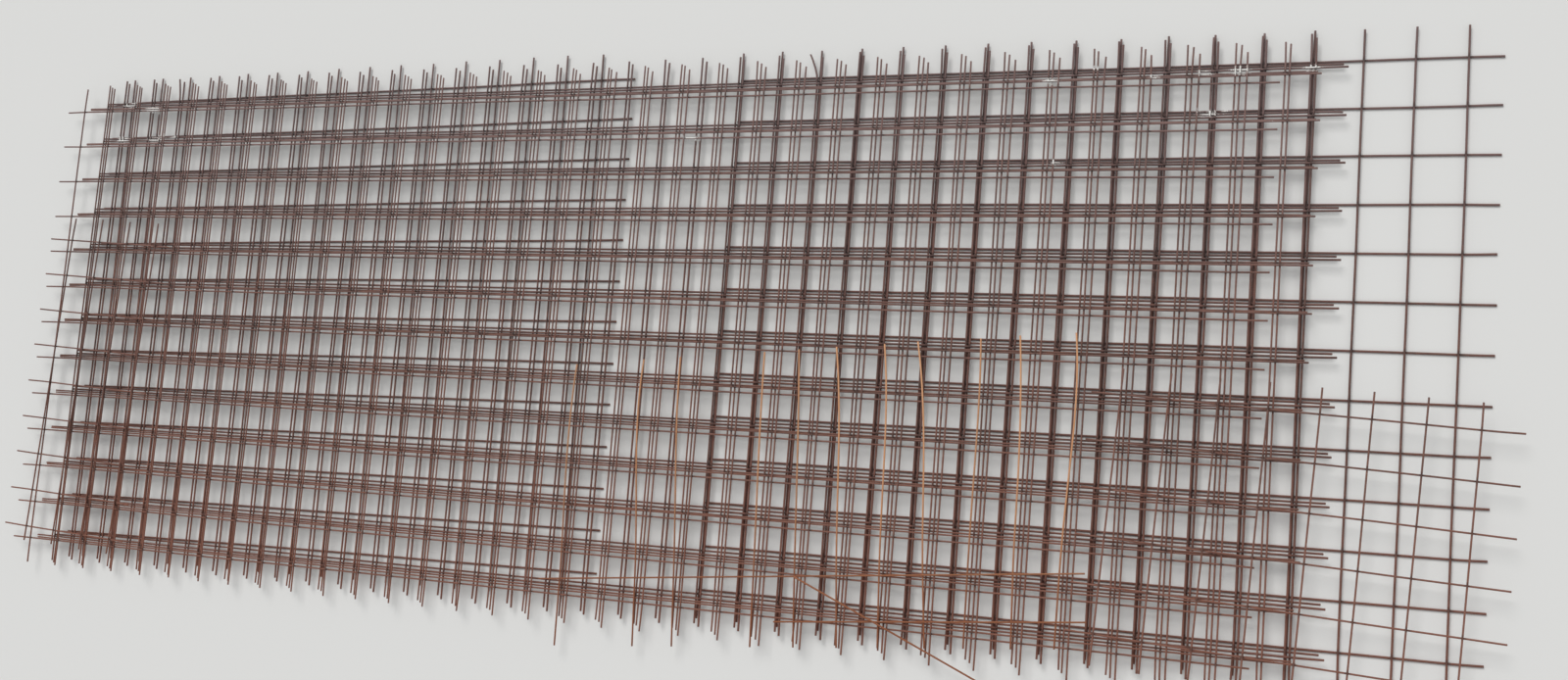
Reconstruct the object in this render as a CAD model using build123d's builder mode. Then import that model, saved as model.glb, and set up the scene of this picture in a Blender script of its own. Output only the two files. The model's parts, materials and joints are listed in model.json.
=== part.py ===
import os
from math import cos, radians, tan

from build123d import *

os.makedirs("parts", exist_ok=True)

# A whole mat is 5 by 2 metres, with a bar every 150 mm both ways, welded at each crossing
bar_pitch = 150
mat_columns = 33  # cross bars, 2 metres long
mat_rows = 13  # long bars, 5 metres long
bar_overhang = 100  # what each bar reaches past its last crossing
thin_bar = 6  # across flats, in the upper three mats and the offcuts
thick_bar = 7  # across flats, in the lower mats
bar_sides = 8
side_gap = 8  # between the cross bars of two mats that nest
row_gap = 4.5  # between the long bars of two mats that nest

# The bottom mat was cut in two beside one of its cross bars, and the halves lie apart
right_half_columns = 17
cut_stub = 10  # what the cut left on the right half
saw_cut = 2

# The left offcut
left_offcut_columns = 4
left_offcut_rows = 9
left_offcut_left_stub = 125
left_offcut_right_stub = 70
left_offcut_top_stub = 95
left_offcut_bottom_stub = 60

# The right offcut
right_offcut_columns = 8
right_offcut_rows = 6
right_offcut_left_stub = 95
right_offcut_right_stub = 120
right_offcut_top_stub = 82
right_offcut_bottom_stub = 100

# The comb is an edge strip with two cross bars, and its other bars stand free above them
comb_places = 13  # bar places along the cross bars
comb_missing_places = (1, 4)  # bars that were cut out
comb_free_length = 765  # from the upper cross bar to the bars' ends
comb_foot = 85  # from the lower cross bar to the bars' feet
comb_end_stub = 82  # what the cross bars reach past the outer bars
comb_short_bar_start = 5.5  # the lower cross bar starts here, in bar places
comb_leans = (-4.6, -2.4, -1.9, -3.5, -1.8, -0.8, -2.4, 0.1, -4.8, -3.4, -5.9)  # in degrees

# A bar that was cut out of the comb lies slantwise on it
loose_bar_lead = 313  # from its upper end to where it rests on the comb's lower cross bar
loose_bar_gap = 0.3  # between the loose bar and what it rests on

# Heights of the weld planes, where the long bars and cross bars of a mat meet.
# The third and fifth mats lie upside down, and their bars nest beside those of the next mat.
bottom_level = thick_bar
second_level = bottom_level + 2 * thick_bar
third_level = second_level + thick_bar
fourth_level = third_level + max(thick_bar, thin_bar)
fifth_level = fourth_level + thin_bar
top_level = fifth_level + thin_bar
offcut_level = top_level + 2 * thin_bar
comb_level = top_level + thin_bar  # its free bars nest between the top mat's cross bars

# Where the middle of each mat lies from the middle of the top mat, and how far it is turned
stack_middle = (345.8, -33.3)  # the middle of the whole stack
bottom_left_middle = (-1040, 64)
bottom_left_turn = 0.97
bottom_right_middle = (1844, 69)
bottom_right_turn = 0.15
second_middle = (191, 48)
second_turn = 0.22
third_middle = (second_middle[0] + thick_bar + side_gap, 35)
third_turn = 0.24
fourth_middle = (115, third_middle[1] - (thick_bar + thin_bar) / 2 - row_gap)
fourth_turn = 0.2
fifth_middle = (fourth_middle[0] + thin_bar + side_gap, 17)
fifth_turn = 0.19
left_offcut_middle = (-2167, -262)
left_offcut_turn = -2.5
right_offcut_middle = (2571, -499)
right_offcut_turn = -2.95
comb_middle = (1011, -757)  # the middle of the comb's upper cross bar
comb_turn = 5.5
loose_bar_high_rest = (1304, -879)  # on the comb's lower cross bar
loose_bar_low_rest = (1500, -962)  # on a cross bar of the top mat


def mat_plane(middle, turn, level):
    """The weld plane of a mat, with its X along the long bars."""
    place = Vector(middle[0] - stack_middle[0], middle[1] - stack_middle[1], level)
    return Plane(place, x_dir=Vector(1, 0, 0).rotate(Axis.Z, turn), z_dir=(0, 0, 1))


def bar_section(bar):
    RegularPolygon(bar / 2, bar_sides, major_radius=False, rotation=180 / bar_sides)


def lay_bars(mat, side, start, count, bar, length):
    """A row of bars with their near ends at start, running along X or Y of the mat."""
    run, row = (mat.x_dir, mat.y_dir) if side == "long" else (mat.y_dir, mat.x_dir)
    with BuildSketch(Plane(mat.from_local_coords(start), x_dir=row, z_dir=run)) as section:
        with GridLocations(bar_pitch, bar_pitch, count, 1):
            bar_section(bar)
    extrude(section.sketch, amount=length)


def weld_mat(mat, columns, rows, bar, stubs, upside_down=False):
    """Long bars below and cross bars above the weld plane, or the other way round."""
    left, right, top, bottom = stubs
    half_length = (columns - 1) * bar_pitch / 2
    half_width = (rows - 1) * bar_pitch / 2
    cross_height = -bar / 2 if upside_down else bar / 2
    lay_bars(mat, "long", (-half_length - left, 0, -cross_height), rows, bar, 2 * half_length + left + right)
    lay_bars(mat, "cross", (0, -half_width - bottom, cross_height), columns, bar, 2 * half_width + top + bottom)


whole_stubs = (bar_overhang, bar_overhang, bar_overhang, bar_overhang)
left_half_columns = mat_columns - right_half_columns
left_half_stubs = (bar_overhang, bar_pitch - cut_stub - saw_cut, bar_overhang, bar_overhang)
right_half_stubs = (cut_stub, bar_overhang, bar_overhang, bar_overhang)

with BuildPart() as mat_bottom_left:
    plane = mat_plane(bottom_left_middle, bottom_left_turn, bottom_level)
    weld_mat(plane, left_half_columns, mat_rows, thick_bar, left_half_stubs)
mat_bottom_left.part.label = "mat_bottom_left"
export_step(mat_bottom_left.part, "parts/mat_bottom_left.step")

with BuildPart() as mat_bottom_right:
    plane = mat_plane(bottom_right_middle, bottom_right_turn, bottom_level)
    weld_mat(plane, right_half_columns, mat_rows, thick_bar, right_half_stubs)
mat_bottom_right.part.label = "mat_bottom_right"
export_step(mat_bottom_right.part, "parts/mat_bottom_right.step")

with BuildPart() as mat_second:
    plane = mat_plane(second_middle, second_turn, second_level)
    weld_mat(plane, mat_columns, mat_rows, thick_bar, whole_stubs)
mat_second.part.label = "mat_second"
export_step(mat_second.part, "parts/mat_second.step")

with BuildPart() as mat_third:
    plane = mat_plane(third_middle, third_turn, third_level)
    weld_mat(plane, mat_columns, mat_rows, thick_bar, whole_stubs, upside_down=True)
mat_third.part.label = "mat_third"
export_step(mat_third.part, "parts/mat_third.step")

with BuildPart() as mat_fourth:
    plane = mat_plane(fourth_middle, fourth_turn, fourth_level)
    weld_mat(plane, mat_columns, mat_rows, thin_bar, whole_stubs)
mat_fourth.part.label = "mat_fourth"
export_step(mat_fourth.part, "parts/mat_fourth.step")

with BuildPart() as mat_fifth:
    plane = mat_plane(fifth_middle, fifth_turn, fifth_level)
    weld_mat(plane, mat_columns, mat_rows, thin_bar, whole_stubs, upside_down=True)
mat_fifth.part.label = "mat_fifth"
export_step(mat_fifth.part, "parts/mat_fifth.step")

with BuildPart() as mat_top:
    plane = mat_plane((0, 0), 0, top_level)
    weld_mat(plane, mat_columns, mat_rows, thin_bar, whole_stubs)
mat_top.part.label = "mat_top"
export_step(mat_top.part, "parts/mat_top.step")

with BuildPart() as offcut_left:
    plane = mat_plane(left_offcut_middle, left_offcut_turn, offcut_level)
    stubs = (
        left_offcut_left_stub,
        left_offcut_right_stub,
        left_offcut_top_stub,
        left_offcut_bottom_stub,
    )
    weld_mat(plane, left_offcut_columns, left_offcut_rows, thin_bar, stubs)
offcut_left.part.label = "offcut_left"
export_step(offcut_left.part, "parts/offcut_left.step")

with BuildPart() as offcut_right:
    plane = mat_plane(right_offcut_middle, right_offcut_turn, offcut_level)
    stubs = (
        right_offcut_left_stub,
        right_offcut_right_stub,
        right_offcut_top_stub,
        right_offcut_bottom_stub,
    )
    weld_mat(plane, right_offcut_columns, right_offcut_rows, thin_bar, stubs)
offcut_right.part.label = "offcut_right"
export_step(offcut_right.part, "parts/offcut_right.step")


def lay_bar(start, run, length):
    """One thin bar, from start and along run."""
    with BuildSketch(Plane(start, x_dir=run.cross(Axis.Z.direction), z_dir=run)) as section:
        bar_section(thin_bar)
    extrude(section.sketch, amount=length)


with BuildPart() as offcut_comb:
    plane = mat_plane(comb_middle, comb_turn, comb_level)
    half_length = (comb_places - 1) * bar_pitch / 2
    right_end = half_length + comb_end_stub
    foot = -bar_pitch - comb_foot
    places = [place for place in range(comb_places) if place not in comb_missing_places]
    for place, lean in zip(places, comb_leans):
        foot_x = place * bar_pitch - half_length - foot * tan(radians(lean))
        bar_start = plane.from_local_coords((foot_x, foot, -thin_bar / 2))
        lay_bar(bar_start, plane.y_dir.rotate(Axis.Z, lean), (comb_free_length - foot) / cos(radians(lean)))
    upper_bar_end = plane.from_local_coords((right_end, 0, thin_bar / 2))
    lay_bar(upper_bar_end, -plane.x_dir, 2 * right_end)
    lower_bar_end = plane.from_local_coords((right_end, -bar_pitch, thin_bar / 2))
    lay_bar(lower_bar_end, -plane.x_dir, right_end + half_length - comb_short_bar_start * bar_pitch)
offcut_comb.part.label = "offcut_comb"
export_step(offcut_comb.part, "parts/offcut_comb.step")

with BuildPart() as loose_bar:
    rise = thin_bar + loose_bar_gap + thin_bar / 2  # from a weld plane, over a cross bar, to the bar's axis
    high_rest = mat_plane(loose_bar_high_rest, 0, comb_level + rise).origin
    low_rest = mat_plane(loose_bar_low_rest, 0, top_level + rise).origin
    run = (low_rest - high_rest).normalized()
    lay_bar(high_rest - run * loose_bar_lead, run, comb_free_length + bar_pitch + comb_foot)
loose_bar.part.label = "loose_bar"
export_step(loose_bar.part, "parts/loose_bar.step")
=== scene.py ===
import json
import math
import random

import bmesh
import bpy
from mathutils import Matrix, Vector


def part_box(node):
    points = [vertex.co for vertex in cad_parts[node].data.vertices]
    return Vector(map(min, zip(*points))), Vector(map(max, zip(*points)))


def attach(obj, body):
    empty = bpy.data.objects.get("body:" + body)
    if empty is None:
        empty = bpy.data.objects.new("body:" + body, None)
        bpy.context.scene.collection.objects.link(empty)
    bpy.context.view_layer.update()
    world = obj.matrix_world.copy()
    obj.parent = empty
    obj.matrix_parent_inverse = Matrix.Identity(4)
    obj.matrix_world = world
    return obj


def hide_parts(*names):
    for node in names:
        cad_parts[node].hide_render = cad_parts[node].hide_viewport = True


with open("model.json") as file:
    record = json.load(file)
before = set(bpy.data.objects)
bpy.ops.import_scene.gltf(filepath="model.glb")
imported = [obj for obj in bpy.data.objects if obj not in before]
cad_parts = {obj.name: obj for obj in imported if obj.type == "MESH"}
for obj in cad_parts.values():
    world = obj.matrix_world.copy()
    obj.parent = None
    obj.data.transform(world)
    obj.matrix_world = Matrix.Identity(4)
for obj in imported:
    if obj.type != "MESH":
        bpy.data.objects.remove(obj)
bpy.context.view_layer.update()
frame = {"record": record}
slots = {row["node"]: row["material_slot"] for row in frame["record"]["subparts"]}
upward = Vector((0, 0, 1))
print("Frame loaded")

barPitch = 0.15  # from bar to bar in every mat, in metres
topMiddle = sum(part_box("mat_top"), Vector()) / 2  # the other places count from the top mat's middle

# The camera stands above the right half of the stack and looks down to its left
cameraView = {
    "fromTopMiddle": Vector((3.1706, -0.5729, 5.2716)),
    "turns": (8.049, 22.707, 5.072),  # degrees about X, Y and Z
    "lens": 38.74,  # millimetres, with a sensor 36 wide
    "sensor": 36,
}


def addObject(name, data):
    added = bpy.data.objects.new(name, data)
    bpy.context.scene.collection.objects.link(added)
    return added


def addCamera():
    data = bpy.data.cameras.new("camera")
    data.lens = cameraView["lens"]
    data.sensor_width = cameraView["sensor"]
    camera = addObject("camera", data)
    camera.location = topMiddle + cameraView["fromTopMiddle"]
    camera.rotation_euler = [math.radians(turn) for turn in cameraView["turns"]]
    bpy.context.scene.camera = camera


addCamera()
print("Camera placed")


# Shader helpers
def setInputs(tree, node, inputs):
    for name, value in inputs.items():
        if isinstance(value, bpy.types.NodeSocket):
            tree.links.new(value, node.inputs[name])
        else:
            node.inputs[name].default_value = value


def addNode(tree, kind, inputs, **settings):
    node = tree.nodes.new("ShaderNode" + kind)
    for name, value in settings.items():
        setattr(node, name, value)
    setInputs(tree, node, inputs)
    return node


def addGroup(tree, group, inputs):
    node = tree.nodes.new("ShaderNodeGroup")
    node.node_tree = group
    setInputs(tree, node, inputs)
    return node.outputs


def addMath(tree, operation, *values, clamp=False):
    inputs = dict(enumerate(values))
    return addNode(tree, "Math", inputs, operation=operation, use_clamp=clamp).outputs[0]


def addRamp(tree, value, low, high):  # 0 below low, 1 above high, smooth between
    inputs = {"Value": value, "From Min": low, "From Max": high}
    return addNode(tree, "MapRange", inputs, interpolation_type="SMOOTHSTEP").outputs["Result"]


def addMix(tree, factor, first, second):
    return addNode(tree, "Mix", {"Factor": factor, 6: first, 7: second}, data_type="RGBA").outputs[2]


def addNoise(tree, place, scale, detail, roughness=0.6):
    inputs = {"Vector": place, "Scale": scale, "Detail": detail, "Roughness": roughness}
    return addNode(tree, "TexNoise", inputs).outputs["Fac"]


def makeGroup(name, inputs, outputs):
    group = bpy.data.node_groups.new(name, "ShaderNodeTree")
    for label, kind, value in inputs:
        socket = group.interface.new_socket(label, in_out="INPUT", socket_type="NodeSocket" + kind)
        if value is not None:
            socket.default_value = value
    for label, kind in outputs:
        group.interface.new_socket(label, in_out="OUTPUT", socket_type="NodeSocket" + kind)
    return group, group.nodes.new("NodeGroupInput").outputs, group.nodes.new("NodeGroupOutput").inputs


# The layers of the rust: how many waves or cells each has to a metre, between which values of its noise it
# sets in, and how much it covers of what is below it
rustLayers = {
    "cloudScale": 6,
    "blotchScale": 55,
    "mottleScale": 210,
    "grainScale": 1300,
    "flakeScale": 380,
    "toneWeight": 0.3,
    "blotchWeight": 0.9,
    "cloudWeight": 0.5,
    "bodyRange": (0.5, 0.82),
    "powderRange": (0.5, 0.64),
    "powderClouds": (0.4, 0.62),
    "powderShare": 0.75,
    "grainRange": (0.5, 0.68),
    "grainShare": 0.55,
    "pitRange": (0.3, 0.8),
    "pitShare": 0.45,
    "roughness": 0.68,
    "roughnessSpread": 0.3,
    "grainRise": 0.5,  # against the blotches, in the relief
    "flakeEdgeRise": -0.5,  # they sink
}


def makeRustSkin():  # dark scale under cloudy rust, with orange powder, pale grains and dark pits
    group, source, sink = makeGroup(
        "rustSkin",
        (
            ("Place", "Vector", None),
            ("Dark", "Color", (0.03, 0.02, 0.015, 1)),
            ("Body", "Color", (0.2, 0.1, 0.08, 1)),
            ("Bright", "Color", (0.4, 0.25, 0.2, 1)),
            ("Powder", "Color", (0.4, 0.15, 0.05, 1)),
            ("Tone", "Float", 0.5),
        ),
        (("Color", "Color"), ("Roughness", "Float"), ("Height", "Float")),
    )
    layers = rustLayers
    place = source["Place"]
    clouds = addNoise(group, place, layers["cloudScale"], 3)
    blotches = addNoise(group, place, layers["blotchScale"], 4)
    mottle = addNoise(group, place, layers["mottleScale"], 3)
    grain = addNoise(group, place, layers["grainScale"], 2)
    cells = {"Vector": place, "Scale": layers["flakeScale"]}
    flakes = addNode(group, "TexVoronoi", cells).outputs["Distance"]
    worn = addMath(group, "MULTIPLY_ADD", source["Tone"], layers["toneWeight"], -layers["toneWeight"] / 2)
    worn = addMath(group, "MULTIPLY_ADD", blotches, layers["blotchWeight"], worn)
    worn = addMath(group, "MULTIPLY_ADD", clouds, layers["cloudWeight"], worn)
    colour = addMix(group, addRamp(group, worn, *layers["bodyRange"]), source["Dark"], source["Body"])
    powdery = addRamp(group, mottle, *layers["powderRange"])
    powder = addMath(group, "MULTIPLY", powdery, addRamp(group, clouds, *layers["powderClouds"]))
    powder = addMath(group, "MULTIPLY", powder, layers["powderShare"])
    colour = addMix(group, powder, colour, source["Powder"])
    grains = addMath(group, "MULTIPLY", addRamp(group, grain, *layers["grainRange"]), layers["grainShare"])
    colour = addMix(group, grains, colour, source["Bright"])
    pits = addMath(group, "MULTIPLY", addRamp(group, flakes, *layers["pitRange"]), layers["pitShare"])
    group.links.new(addMix(group, pits, colour, source["Dark"]), sink["Color"])
    rough = addMath(group, "MULTIPLY_ADD", mottle, layers["roughnessSpread"], layers["roughness"], clamp=True)
    group.links.new(rough, sink["Roughness"])
    height = addMath(group, "MULTIPLY_ADD", grain, layers["grainRise"], blotches)
    group.links.new(addMath(group, "MULTIPLY_ADD", flakes, layers["flakeEdgeRise"], height), sink["Height"])
    return group


ribShape = {
    "pitch": 0.0045,  # metres
    "rows": 3,
    "slant": 0.7,  # how many pitches a rib rises over its row
    "flank": (0.1, 0.9),  # how softly its sides rise
    "taper": (0.2, 0.8),  # how softly its ends run out
}


def makeBarRibs():  # rows of short slanting ribs, from the length and turn in the bar's own map
    group, source, sink = makeGroup(
        "barRibs",
        (("Map", "Vector", None), ("Pitch", "Float", ribShape["pitch"])),
        (("Height", "Float"), ("Crest", "Float")),
    )
    along = addNode(group, "SeparateXYZ", {"Vector": source["Map"]}).outputs
    row = addMath(group, "FRACT", addMath(group, "MULTIPLY", along["Y"], ribShape["rows"]))
    crescent = addMath(group, "SINE", addMath(group, "MULTIPLY", row, math.pi))
    step = addMath(group, "DIVIDE", along["X"], source["Pitch"])
    step = addMath(group, "MULTIPLY_ADD", row, ribShape["slant"], step)
    wave = addMath(group, "SINE", addMath(group, "MULTIPLY", step, 2 * math.pi))
    flank = addRamp(group, wave, *ribShape["flank"])
    rib = addMath(group, "MULTIPLY", flank, addRamp(group, crescent, *ribShape["taper"]))
    group.links.new(rib, sink["Height"])
    group.links.new(addMath(group, "POWER", rib, 2), sink["Crest"])
    return group


weldRing = {"reach": 0.012, "fade": (0.3, 1)}  # in metres, and in shares of that reach


def makeWeldHeat():  # the burnt ring about each weld, a pitch apart along the bar's own map
    group, source, sink = makeGroup(
        "weldHeat",
        (("Map", "Vector", None), ("Pitch", "Float", barPitch), ("Reach", "Float", weldRing["reach"])),
        (("Mask", "Float"),),
    )
    along = addNode(group, "SeparateXYZ", {"Vector": source["Map"]}).outputs["X"]
    step = addMath(group, "ABSOLUTE", addMath(group, "DIVIDE", along, source["Pitch"]))
    away = addMath(group, "ABSOLUTE", addMath(group, "SUBTRACT", step, addMath(group, "ROUND", step)))
    away = addMath(group, "DIVIDE", addMath(group, "MULTIPLY", away, source["Pitch"]), source["Reach"])
    group.links.new(addMath(group, "SUBTRACT", 1, addRamp(group, away, *weldRing["fade"])), sink["Mask"])
    return group


limeShape = {
    "squeeze": (1, 2.5, 0.4),  # along X, Y and Z a splash spreads its reach divided by these
    "raggedness": 2.2,
    "edge": (1.4, 1.75),  # where it is thick enough to show, and where it is solid
}


def makeLimeSpot():  # a splash of lime that ran along X from one point, broken up at its edge
    group, source, sink = makeGroup(
        "limeSpot",
        (
            ("Place", "Vector", None),
            ("Middle", "Vector", None),
            ("Reach", "Float", 0.03),
            ("Ragged", "Float", 0.5),
        ),
        (("Mask", "Float"),),
    )
    away = addNode(group, "VectorMath", {0: source["Place"], 1: source["Middle"]}, operation="SUBTRACT")
    away = addNode(group, "VectorMath", {0: away.outputs[0], 1: limeShape["squeeze"]}, operation="MULTIPLY")
    away = addNode(group, "VectorMath", {0: away.outputs[0]}, operation="LENGTH").outputs["Value"]
    nearness = addMath(group, "SUBTRACT", 1, addMath(group, "DIVIDE", away, source["Reach"]))
    thickness = addMath(group, "MULTIPLY_ADD", source["Ragged"], limeShape["raggedness"], nearness)
    group.links.new(addRamp(group, thickness, *limeShape["edge"]), sink["Mask"])
    return group


rustSkin = makeRustSkin()
barRibs = makeBarRibs()
weldHeat = makeWeldHeat()
limeSpot = makeLimeSpot()

# Each finish has its colours, with the paler, greyer colour of the tops of its bars, which is painted sky
# light, and the redder, browner colour at their feet, which is painted shade. footFade says between which
# distances from the lowest end that painted shade fades out, the share after it how much dust and painted
# highlight the shade takes away there, and heat how strongly the welds burnt the finish.
finishes = {
    # dark_rust is a darker copy of the brown rust, painted shade for the lower mats
    "dark_rust": {
        "dark": (0.028, 0.014, 0.011, 1),
        "body": (0.135, 0.05, 0.034, 1),
        "bright": (0.25, 0.13, 0.105, 1),
        "powder": (0.22, 0.075, 0.034, 1),
        # tops is painted sky light, foot is painted shade
        "tops": (0.145, 0.122, 0.128, 1),
        "topsShare": 0.6,
        "foot": (0.19, 0.052, 0.022, 1),
        "footShare": 0.65,
        "footFade": (0, 1),
        "footDustAndHighlightLoss": 0,
        "heat": 0.5,
    },
    "brown_rust": {
        "dark": (0.036, 0.015, 0.011, 1),
        "body": (0.16, 0.06, 0.041, 1),
        "bright": (0.31, 0.165, 0.13, 1),
        "powder": (0.27, 0.092, 0.037, 1),
        # tops is painted sky light, foot is painted shade
        "tops": (0.18, 0.136, 0.136, 1),
        "topsShare": 0.6,
        "foot": (0.22, 0.062, 0.024, 1),
        "footShare": 0.65,
        "footFade": (0, 1),
        "footDustAndHighlightLoss": 0,
        "heat": 0.5,
    },
    "orange_rust": {
        "dark": (0.13, 0.045, 0.02, 1),
        "body": (0.47, 0.158, 0.047, 1),
        "bright": (0.68, 0.34, 0.17, 1),
        "powder": (0.64, 0.215, 0.05, 1),
        # tops is painted sky light, foot is painted shade
        "tops": (0.68, 0.37, 0.2, 1),
        "topsShare": 0.7,
        "foot": (0.2, 0.054, 0.02, 1),
        "footShare": 0.85,
        "footFade": (0.35, 0.85),
        "footDustAndHighlightLoss": 0.8,
        "heat": 0,
    },
}

# What the finishes share, in metres
rustLook = {
    "cutColor": (0.3, 0.115, 0.05, 1),  # the sheared ends
    "weldColor": (0.028, 0.017, 0.015, 1),  # burnt scale about a weld
    "limeColor": (0.84, 0.82, 0.78, 1),
    "ribHeight": 0.00035,
    "ribWear": 0.45,  # how much paler the worn tops of the ribs are
    "grainHeight": 0.00025,
    "dustAndHighlight": 0.3,  # how much paler a bar is on its upper side, partly real dust and partly painted highlight
    "dustAndHighlightFacing": (0.1, 1),  # how far up a face looks where the dust and painted highlight start and where they are strongest
    "topsReach": 1.1,  # from where the painted sky light starts to pale the bars to the palest tops, along Y
    "topsEven": 0.7,  # how much of the paling all bars share
    "topsUneven": 0.6,  # how much more the palest bars get
    "limeEdgeScale": 230,  # how fine the broken edge of the lime is
    "limeUpward": 0.6,  # how readily lime lies on upward faces, against those that look to the tops
    "limeFacing": (0, 0.5),
}

# Splashes of lime on the upper bars, each with its place from the middle of the top mat and its reach
limeSplashes = (
    (-2.035, 0.905, 0.06),
    (-2.17, 0.931, 0.055),
    (-2.19, 0.781, 0.06),
    (-2.01, 0.782, 0.06),
    (-1.93, 0.792, 0.04),
    (2.267, 0.936, 0.04),
    (2.375, 0.941, 0.055),
    (2.111, 0.927, 0.03),
    (2.592, 0.945, 0.045),
    (2.28, 0.809, 0.05),
    (2.337, 0.817, 0.035),
    (2.476, 0.766, 0.03),
    (1.77, 0.921, 0.045),
    (1.919, 0.963, 0.025),
    (1.804, 0.652, 0.035),
    (0.477, 0.752, 0.045),
)


def makeRust(slot):
    finish = finishes[slot]
    material = bpy.data.materials.new(slot)
    material.use_nodes = True
    tree = material.node_tree
    tree.nodes.clear()
    coordinates = addNode(tree, "TexCoord", {}).outputs
    place = coordinates["Object"]
    tone = addNode(tree, "Attribute", {}, attribute_name="barTone").outputs["Fac"]
    cutEnd = addNode(tree, "Attribute", {}, attribute_name="cutEnd").outputs["Fac"]
    alongBar = addNode(tree, "UVMap", {}, uv_map="alongBar").outputs["UV"]
    facing = addNode(tree, "SeparateXYZ", {"Vector": coordinates["Normal"]}).outputs
    colours = {name.capitalize(): finish[name] for name in ("dark", "body", "bright", "powder")}
    skin = addGroup(tree, rustSkin, {"Place": place, "Tone": tone, **colours})
    ribs = addGroup(tree, barRibs, {"Map": alongBar})
    colour = skin["Color"]
    height = addNode(tree, "SeparateXYZ", {"Vector": place}).outputs["Y"]
    ends = [corner.y for node in slots if slots[node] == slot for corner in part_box(node)]
    tops, feet = max(ends), min(ends)
    # Painted shade: towards their feet the bars turn redder and browner and lose dust and painted highlight
    low, high = finish["footFade"]
    footShade = addMath(tree, "SUBTRACT", 1, addRamp(tree, height, feet + low, feet + high))
    dustAndHighlightKept = addMath(tree, "MULTIPLY_ADD", footShade, -finish["footDustAndHighlightLoss"], 1)
    colour = addMix(tree, addMath(tree, "MULTIPLY", footShade, finish["footShare"]), colour, finish["foot"])
    uneven, even = (rustLook[name] * finish["topsShare"] for name in ("topsUneven", "topsEven"))
    # Painted sky light: the bars turn paler and greyer towards their top ends, some more than others
    skyLitTops = addRamp(tree, height, tops - rustLook["topsReach"], tops)
    skyLitTops = addMath(tree, "MULTIPLY", skyLitTops, addMath(tree, "MULTIPLY_ADD", tone, uneven, even))
    colour = addMix(tree, skyLitTops, colour, finish["tops"])
    # Real dust and painted highlight: faces that look up are paler, less so at the feet that carry painted
    # shade
    dustAndHighlight = addMath(tree, "MULTIPLY", addRamp(tree, facing["Z"], *rustLook["dustAndHighlightFacing"]), rustLook["dustAndHighlight"])
    colour = addMix(tree, addMath(tree, "MULTIPLY", dustAndHighlight, dustAndHighlightKept), colour, finish["bright"])
    worn = addMath(tree, "MULTIPLY", ribs["Crest"], rustLook["ribWear"])
    colour = addMix(tree, addMath(tree, "MULTIPLY", worn, dustAndHighlightKept), colour, finish["bright"])
    if finish["heat"]:  # the orange bars have neither burnt welds nor lime
        heat = addMath(tree, "MULTIPLY", addGroup(tree, weldHeat, {"Map": alongBar})["Mask"], finish["heat"])
        colour = addMix(tree, heat, colour, rustLook["weldColor"])
        ragged = addNoise(tree, place, rustLook["limeEdgeScale"], 4)
        splashed = addMath(tree, "MULTIPLY_ADD", facing["Z"], rustLook["limeUpward"], facing["Y"])
        splashed = addRamp(tree, splashed, *rustLook["limeFacing"])
        for x, y, reach in limeSplashes:
            middle = topMiddle + Vector((x, y, 0))
            splash = {"Place": place, "Middle": middle, "Reach": reach, "Ragged": ragged}
            lime = addMath(tree, "MULTIPLY", addGroup(tree, limeSpot, splash)["Mask"], splashed)
            colour = addMix(tree, lime, colour, rustLook["limeColor"])
    colour = addMix(tree, cutEnd, colour, rustLook["cutColor"])
    bump = addNode(tree, "Bump", {"Height": ribs["Height"], "Distance": rustLook["ribHeight"]})
    grain = {"Height": skin["Height"], "Distance": rustLook["grainHeight"], "Normal": bump.outputs["Normal"]}
    bump = addNode(tree, "Bump", grain)
    surface = {"Base Color": colour, "Roughness": skin["Roughness"], "Normal": bump.outputs["Normal"]}
    shader = addNode(tree, "BsdfPrincipled", surface)
    addNode(tree, "OutputMaterial", {"Surface": shader.outputs["BSDF"]})
    return material


rusts = {slot: makeRust(slot) for slot in finishes}
print("Materials made")

# How every bar is shaped, in metres
barShape = {
    "sides": 10,
    "ringStep": 0.055,  # between the rings that let a bar bend
    "offset": 0.0008,  # how far a bar was welded out of its place
    "sway": 0.0005,  # how far it swings out of line, in the shortest wave
    "swayLengths": (0.65, 2.1),
    "leastSway": 0.3,  # as a share of the most
    "endBend": 0.0015,
    "bendCurve": 1.5,  # the power that bends an end in a curve
    "longStray": 0.0013,  # no long bar strays further, because those of two mats nest closely
    "crossStray": 0.003,
    "bentLength": 0.1,  # how much of a bar's end is bent
    "endRings": (0.02, 0.045, 0.075),  # more rings near each end
    "shortfall": 0.004,  # how unevenly the ends were cut
    "burr": 0.2,  # the rounded rim of a cut end, as a share of the radius
}

# A weld's bead, with its reach and height as shares of the bar's radius
weldShape = {"sides": 8, "rings": 5, "reach": 0.95, "height": 0.6}


def makeMesh(name, shape):
    mesh = bpy.data.meshes.new(name)
    shape.to_mesh(mesh)
    shape.free()
    return mesh


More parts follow.
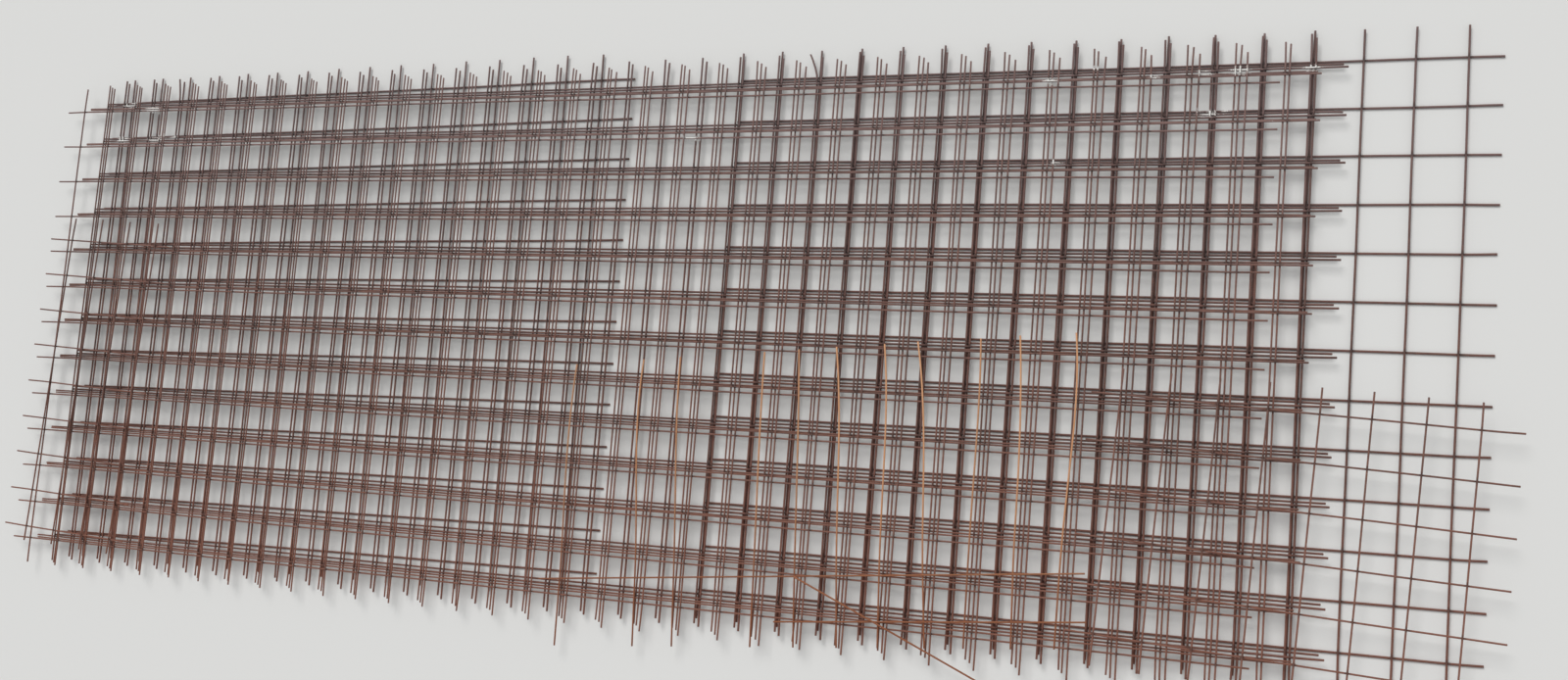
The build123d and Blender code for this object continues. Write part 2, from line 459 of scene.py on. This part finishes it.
def makeBarTemplate(length, radius, firstWeld=0):  # a straight bar up from the origin
    rim = barShape["burr"] * radius
    bar = bmesh.new()
    bar.verts.layers.float.new("barTone")
    cutLayer = bar.faces.layers.float.new("cutEnd")
    mapLayer = bar.loops.layers.uv.new("alongBar")
    middle = Matrix.Translation((0, 0, length / 2))
    bmesh.ops.create_cone(
        bar,
        cap_ends=True,
        segments=barShape["sides"],
        radius1=radius,
        radius2=radius,
        depth=length - 2 * rim,
        matrix=middle,
    )
    longEdges = [edge for edge in bar.edges if abs(edge.verts[0].co.z - edge.verts[1].co.z) > length / 2]
    cuts = max(2, round(length / barShape["ringStep"])) - 1
    bmesh.ops.subdivide_edges(bar, edges=longEdges, cuts=cuts, use_grid_fill=True)
    for height in barShape["endRings"]:
        for ring in (height, length - height):
            geometry = bar.verts[:] + bar.edges[:] + bar.faces[:]
            bmesh.ops.bisect_plane(bar, geom=geometry, plane_co=(0, 0, ring), plane_no=upward)
    bar.normal_update()
    caps = [face for face in bar.faces if abs(face.normal.z) > 0.9]
    bmesh.ops.inset_individual(bar, faces=caps, thickness=rim, depth=rim)
    for face in bar.faces:
        face.smooth = face not in caps
    for cap in caps:
        cap[cutLayer] = 1
        for edge in cap.edges:
            edge.smooth = False
    for face in bar.faces:
        turns = [math.atan2(loop.vert.co.y, loop.vert.co.x) / (2 * math.pi) for loop in face.loops]
        wraps = max(turns) - min(turns) > 0.5
        for loop, turn in zip(face.loops, turns):
            loop[mapLayer].uv = (loop.vert.co.z - firstWeld, turn + 1 if wraps and turn < 0 else turn)
    return makeMesh("barTemplate", bar)


def makeWeldTemplate(radius):
    weld = bmesh.new()
    weld.verts.layers.float.new("barTone")
    weld.faces.layers.float.new("cutEnd")
    reach = radius * weldShape["reach"]
    flattened = Matrix.Diagonal((reach, reach, radius * weldShape["height"], 1))
    bmesh.ops.create_uvsphere(
        weld,
        u_segments=weldShape["sides"],
        v_segments=weldShape["rings"],
        radius=1,
        matrix=flattened,
        calc_uvs=False,
    )
    weld.loops.layers.uv.new("alongBar")
    for face in weld.faces:
        face.smooth = True
    return makeMesh("weldTemplate", weld)


def makeSway(chance, length, stray, bentTop=0):  # how far a bar lies to the side, at each point along it
    offset = chance.uniform(-1, 1) * barShape["offset"]
    waves = []
    for wave in barShape["swayLengths"]:
        size = chance.uniform(barShape["leastSway"], 1) * barShape["sway"]
        size *= wave / min(barShape["swayLengths"])
        waves.append((size, wave, chance.uniform(0, 2 * math.pi)))
    bends = [chance.gauss(0, 1) * barShape["endBend"] for _ in range(2)]
    if bentTop:
        bends[1] = 0

    def sway(along):
        waved = sum(size * math.sin(2 * math.pi * along / wave + phase) for size, wave, phase in waves)
        near = max(0, 1 - along / barShape["bentLength"]) ** barShape["bendCurve"]
        far = max(0, 1 - (length - along) / barShape["bentLength"]) ** barShape["bendCurve"]
        side = offset + waved + bends[0] * near + bends[1] * far
        return stray * math.tanh(side / stray) + bentTop * far

    return sway


def makeBow(chance, side, length, weldAt):  # the same for a free bar, which is straight up to its last weld
    ripple = chance.uniform(-1, 1) * comb["ripple"]

    def bow(along):
        reach = max(0, along - weldAt) / (length - weldAt)
        curve = reach * (1 - reach) * 27 / 4  # times reach, this is 1 two thirds of the way up
        return reach * (side * curve + ripple * math.sin(2 * math.pi * reach))

    return bow


def addCopy(target, template, place, tone, sway=None):
    first = len(target.verts)
    target.from_mesh(template)
    target.verts.ensure_lookup_table()
    toneLayer = target.verts.layers.float["barTone"]
    for vert in target.verts[first:]:
        if sway:
            vert.co.x += sway(vert.co.z)
        vert.co = place @ vert.co
        vert[toneLayer] = tone


def barPlace(start, run):  # from a template's upright bar to a bar from start along run
    side = upward.cross(run).normalized()
    place = Matrix((side, run.cross(side), run)).transposed().to_4x4()
    place.translation = start
    return place


def turnedAxes(degrees):  # along a mat's long bars and along its cross bars
    turn = math.radians(degrees)
    return Vector((math.cos(turn), math.sin(turn), 0)), Vector((-math.sin(turn), math.cos(turn), 0))


def finishPiece(piece, target, node):
    slot = slots[node]
    mesh = makeMesh(piece, target)
    mesh.materials.append(rusts[slot])
    shown = addObject(piece, mesh)
    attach(shown, "root")
    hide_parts(node)
    print(piece, "has", len(mesh.polygons), "faces")


# The mats, from the bottom up, turned by degrees, with their stubs to the left, right, top and bottom
wholeMat = {"columns": 33, "rows": 13, "stubs": (0.1, 0.1, 0.1, 0.1)}
mats = {
    "bottomLeftMat": {
        "node": "mat_bottom_left",
        "columns": 16,
        "rows": 13,
        "turn": 0.97,
        "stubs": (0.1, 0.138, 0.1, 0.1),
    },
    "bottomRightMat": {
        "node": "mat_bottom_right",
        "columns": 17,
        "rows": 13,
        "turn": 0.15,
        "stubs": (0.01, 0.1, 0.1, 0.1),
    },
    "secondMat": {
        **wholeMat,
        "node": "mat_second",
        "turn": 0.22,
        "bentTops": {2: 0.014, 21: 0.035},  # these cross bars are bent to the left above the last weld
    },
    "thirdMat": {**wholeMat, "node": "mat_third", "turn": 0.24, "upsideDown": True},
    "fourthMat": {**wholeMat, "node": "mat_fourth", "turn": 0.2},
    "fifthMat": {**wholeMat, "node": "mat_fifth", "turn": 0.19, "upsideDown": True},
    "topMat": {**wholeMat, "node": "mat_top", "turn": 0},
    "leftOffcut": {
        "node": "offcut_left",
        "columns": 4,
        "rows": 9,
        "turn": -2.5,
        "stubs": (0.125, 0.07, 0.095, 0.06),
    },
    "rightOffcut": {
        "node": "offcut_right",
        "columns": 8,
        "rows": 6,
        "turn": -2.95,
        "stubs": (0.095, 0.12, 0.082, 0.1),
    },
}


def makeMat(piece, layout, chance):
    low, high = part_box(layout["node"])
    radius = (high.z - low.z) / 4
    along, across = turnedAxes(layout["turn"])
    left, right, top, bottom = layout["stubs"]
    halfLength = (layout["columns"] - 1) * barPitch / 2
    halfWidth = (layout["rows"] - 1) * barPitch / 2
    middle = (low + high) / 2 - along * (right - left) / 2 - across * (top - bottom) / 2
    lift = upward * (-radius if layout.get("upsideDown") else radius)
    longLength = 2 * halfLength + left + right
    crossLength = 2 * halfWidth + top + bottom
    mat = bmesh.new()
    longBar = makeBarTemplate(longLength - barShape["shortfall"], radius, left)
    crossBar = makeBarTemplate(crossLength - barShape["shortfall"], radius, bottom)
    weld = makeWeldTemplate(radius)
    longSways = []
    for row in range(layout["rows"]):
        start = middle - lift - along * (halfLength + left) + across * (row * barPitch - halfWidth)
        start += along * chance.uniform(0, barShape["shortfall"])
        longSways.append(makeSway(chance, longLength, barShape["longStray"]))
        addCopy(mat, longBar, barPlace(start, along), chance.random(), sway=longSways[-1])
    crossSways = []
    for column in range(layout["columns"]):
        start = middle + lift - across * (halfWidth + bottom) + along * (column * barPitch - halfLength)
        start += across * chance.uniform(0, barShape["shortfall"])
        bentTop = layout.get("bentTops", {}).get(column, 0)
        crossSways.append(makeSway(chance, crossLength, barShape["crossStray"], bentTop=bentTop))
        addCopy(mat, crossBar, barPlace(start, across), chance.random(), sway=crossSways[-1])
    for row, longSway in enumerate(longSways):
        for column, crossSway in enumerate(crossSways):
            x, y = column * barPitch, row * barPitch
            x, y = x - crossSway(y + bottom) - halfLength, y + longSway(x + left) - halfWidth
            addCopy(mat, weld, Matrix.Translation(middle + along * x + across * y), chance.random())
    finishPiece(piece, mat, layout["node"])


chance = random.Random(41)
for piece, layout in mats.items():
    makeMat(piece, layout, chance)

# The comb, whose bars stand free above its two cross bars, in metres and degrees
comb = {
    "middle": Vector((1.011, -0.757, 0)),  # of its upper cross bar, from the middle of the top mat
    "turn": 5.5,
    "places": 13,
    "missing": (1, 4),  # the places where a bar was cut out
    "freeLength": 0.765,  # from the upper cross bar to the bars' ends
    "foot": 0.085,  # from the lower cross bar to the bars' feet
    "endStub": 0.082,  # what the cross bars reach past the outer bars
    "shortBarStart": 5.5,  # the lower cross bar starts here, in places
    "leans": (-4.6, -2.4, -1.9, -3.5, -1.8, -0.8, -2.4, 0.1, -4.8, -3.4, -5.9),
    "tones": (0, 0.1, 0, 0.3, 0.1, 0.8, 0.7, 1, 0.1, 0.7, 0.8),  # the left bars are the darkest
    # How far each free bar bows to the left, two thirds of the way up, and how far it may ripple
    "bows": (0.012, 0.015, 0.006, 0.003, -0.003, -0.009, -0.01, -0.014, -0.005, -0.01, -0.013),
    "ripple": 0.003,
}


def makeComb(chance):
    low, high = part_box("offcut_comb")
    radius = (high.z - low.z) / 4
    along, across = turnedAxes(comb["turn"])
    middle = topMiddle + comb["middle"]
    middle.z = (low.z + high.z) / 2
    halfLength = (comb["places"] - 1) * barPitch / 2
    footEnd = barPitch + comb["foot"]
    freeLength = comb["freeLength"] + footEnd
    target = bmesh.new()
    weld = makeWeldTemplate(radius)
    freeBar = makeBarTemplate(freeLength, radius)
    places = [place for place in range(comb["places"]) if place not in comb["missing"]]
    for place, lean, tone, side in zip(places, comb["leans"], comb["tones"], comb["bows"]):
        crossing = middle + along * (place * barPitch - halfLength) - upward * radius
        run = Matrix.Rotation(math.radians(lean), 3, "Z") @ across
        bow = makeBow(chance, side, freeLength, footEnd)
        addCopy(target, freeBar, barPlace(crossing - run * footEnd, run), tone, sway=bow)
        addCopy(target, weld, Matrix.Translation(crossing + upward * radius), chance.random())
        if place > comb["shortBarStart"]:
            lowerCrossing = crossing - run * barPitch + upward * radius
            addCopy(target, weld, Matrix.Translation(lowerCrossing), chance.random())
    rightEnd = halfLength + comb["endStub"]
    leftEnds = (-rightEnd, comb["shortBarStart"] * barPitch - halfLength)
    for leftEnd, height in zip(leftEnds, (0, -barPitch)):
        start = middle + along * leftEnd + across * height + upward * radius
        crossBar = makeBarTemplate(rightEnd - leftEnd, radius)
        addCopy(target, crossBar, barPlace(start, along), chance.random())
    finishPiece("combOffcut", target, "offcut_comb")


looseBar = {"radius": 0.003}  # metres


def makeLooseBar(chance):  # it runs down from the back left corner of its box to the front right one
    low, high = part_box("loose_bar")
    radius = looseBar["radius"]
    run = Vector((high.x - low.x, low.y - high.y, low.z - high.z)).normalized()
    inset = Vector([radius * math.sqrt(1 - share ** 2) for share in run])
    start = Vector((low.x + inset.x, high.y - inset.y, high.z - inset.z))
    end = Vector((high.x - inset.x, low.y + inset.y, low.z + inset.z))
    run = (end - start).normalized()
    target = bmesh.new()
    template = makeBarTemplate((end - start).length, radius)
    addCopy(target, template, barPlace(start, run), chance.random())
    finishPiece("looseBar", target, "loose_bar")


makeComb(chance)
makeLooseBar(chance)
print("Pieces made")

# Floor and light
studio = {
    "floorSize": 300,
    "floorColor": (0.72, 0.71, 0.69, 1),
    "floorRoughness": 0.9,
    "skyColor": (0.95, 0.98, 1, 1),
    "skyStrength": 0.5,
    "keyFrom": (-1.5, 6, 7),
    "keySoftness": 32,  # degrees across
    "keyStrength": 1.9,
    "fillFrom": (3, -6, 5),
    "fillSoftness": 60,
    "fillStrength": 0.2,
}


def addFloor():
    sheet = bmesh.new()
    bmesh.ops.create_grid(sheet, x_segments=1, y_segments=1, size=studio["floorSize"] / 2)
    mesh = makeMesh("floor", sheet)
    material = bpy.data.materials.new("floor")
    material.use_nodes = True
    shader = material.node_tree.nodes["Principled BSDF"]
    shader.inputs["Base Color"].default_value = studio["floorColor"]
    shader.inputs["Roughness"].default_value = studio["floorRoughness"]
    mesh.materials.append(material)
    floor = addObject("floor", mesh)


def addLight(name, direction, softness, strength):  # far off in one direction, so that the light is even
    data = bpy.data.lights.new(name, "SUN")
    data.angle = math.radians(softness)
    data.energy = strength
    light = addObject(name, data)
    light.location = direction
    light.rotation_euler = (-Vector(direction)).to_track_quat("-Z", "Y").to_euler()


def addSky():
    world = bpy.data.worlds.new("sky")
    world.use_nodes = True
    background = world.node_tree.nodes["Background"]
    background.inputs["Color"].default_value = studio["skyColor"]
    background.inputs["Strength"].default_value = studio["skyStrength"]
    bpy.context.scene.world = world


addFloor()
addSky()
addLight("key", studio["keyFrom"], studio["keySoftness"], studio["keyStrength"])
addLight("fill", studio["fillFrom"], studio["fillSoftness"], studio["fillStrength"])
bpy.context.scene.view_settings.view_transform = "Standard"
print("Floor and lights placed")
